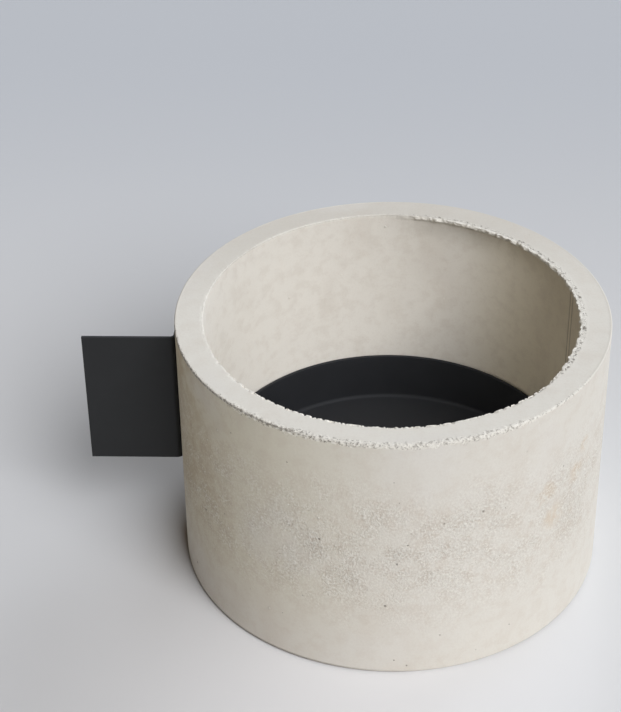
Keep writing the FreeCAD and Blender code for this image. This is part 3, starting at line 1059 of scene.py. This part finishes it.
# A painted pool of light on the floor just in front of the planter.
from_light_pool = board.distance(place, LIGHT_POOL_SPOT)
colour = board.mix(board.near(from_light_pool, 0.0, LIGHT_POOL_REACH), FLOOR_PALE, FLOOR_PAINTED_LIGHT)
colour = board.mix(board.fade(to_back, FAR_START, FAR_END), colour, FLOOR_FAR)
feed(board, shader, Base_Color=colour, Roughness=0.85, Specular_IOR_Level=0.2)
half = FLOOR_SIZE / 2
floor_mesh = bpy.data.meshes.new("floor")
floor_corners = [(-half, -half, 0), (half, -half, 0), (half, half, 0), (-half, half, 0)]
floor_mesh.from_pydata(floor_corners, [], [(0, 1, 2, 3)])
floor_mesh.materials.append(floor_finish)
floor = bpy.data.objects.new("floor", floor_mesh)
bpy.context.scene.collection.objects.link(floor)

# %% Sky
SKY_RIGHT = rgb(0.012, 0.013, 0.015)
SKY_LEFT = rgb(0.045, 0.024, 0.003)
SKY_SOFT = 0.8
BACKDROP = rgb(0.48, 0.505, 0.54)

world = bpy.data.worlds.new("studio")
bpy.context.scene.world = world
world.use_nodes = True
board = Board(world.node_tree)
background = world.node_tree.nodes["Background"]
direction = board.add("ShaderNodeTexCoord", out="Generated")
to_right = board.split(direction)[0]
sky = board.mix(board.fade(to_right, -SKY_SOFT, SKY_SOFT), SKY_LEFT, SKY_RIGHT)
rays = board.add("ShaderNodeLightPath", out="Is Camera Ray")
seen = board.larger(rays, board.larger(rays.other("Is Glossy Ray"), rays.other("Is Transmission Ray")))
board.tree.links.new(board.mix(seen, sky, BACKDROP).socket, background.inputs["Color"])
background.inputs["Strength"].default_value = 1.0

# %% Lamps
LAMP_DISTANCE = 3.0
# Direction round the planter, height and width, all in degrees, then strength and colour
LAMPS = {
    "key": (-57.0, 42.0, 35.0, 0.73, (0.99, 1.0, 1.04)),
    "side": (60.0, 23.0, 45.0, 0.46, (0.94, 1.0, 1.10)),
    "fill": (5.0, 45.0, 90.0, 0.20, (0.97, 1.0, 1.06)),
}


def soft_lamp(name, azimuth, height, width, strength, colour):
    """A wide, far lamp. Its width is an angle, and its strength is what a white card facing it would show."""
    azimuth, height = math.radians(azimuth), math.radians(height)
    level = math.cos(height)
    towards = Vector((level * math.cos(azimuth), level * math.sin(azimuth), math.sin(height)))
    lamp = bpy.data.lights.new(name, "SUN")
    lamp.angle = math.radians(width)
    lamp.energy = strength * math.pi
    lamp.color = colour
    placed = bpy.data.objects.new(name, lamp)
    placed.location = towards * LAMP_DISTANCE
    placed.rotation_euler = towards.to_track_quat("Z", "Y").to_euler()
    bpy.context.scene.collection.objects.link(placed)
    print(name, "lamp towards", [round(v, 2) for v in towards])


for name, values in LAMPS.items():
    soft_lamp(name, *values)

# %% [markdown]
# The camera was solved from the photo: the rim's ellipse and the foot's line fix its height and angle. It
# looks down at 35 degrees, stands 2.2 degrees round from the front of the planter, and leans by less than
# one degree. Its target and distance are in radii of the shell, because a picture alone gives no size.

# %% Camera
IMAGE_LONG_SIDE = 712
FOCAL_PIXELS = 1972.0
SENSOR = 36.0
CAMERA_TURN = math.radians(VIEW_TURN)
CAMERA_PITCH = math.radians(34.97)
CAMERA_ROLL = math.radians(-0.89)
CAMERA_DISTANCE = 9.176 * shell_outer
TARGET_LEFT = 0.379 * shell_outer
TARGET_HEIGHT = 1.068 * shell_outer

turn = Matrix.Rotation(CAMERA_TURN, 3, "Z")
camera_target = turn @ Vector((-TARGET_LEFT, 0.0, TARGET_HEIGHT))
ahead = turn @ Vector((0.0, math.cos(CAMERA_PITCH), -math.sin(CAMERA_PITCH)))
level = turn @ Vector((1.0, 0.0, 0.0))
above = level.cross(ahead)
right = level * math.cos(CAMERA_ROLL) + above * math.sin(CAMERA_ROLL)
up = above * math.cos(CAMERA_ROLL) - level * math.sin(CAMERA_ROLL)
lens = bpy.data.cameras.new("camera")
lens.sensor_width = SENSOR
lens.lens = FOCAL_PIXELS / IMAGE_LONG_SIDE * SENSOR
camera = bpy.data.objects.new("camera", lens)
stand = Matrix.Translation(camera_target - ahead * CAMERA_DISTANCE)
camera.matrix_world = stand @ Matrix((right, up, -ahead)).transposed().to_4x4()
bpy.context.scene.collection.objects.link(camera)
bpy.context.scene.camera = camera
bpy.context.scene.view_settings.view_transform = "Standard"
print("camera lens", round(lens.lens, 1), "mm at", [round(v, 3) for v in camera.location])
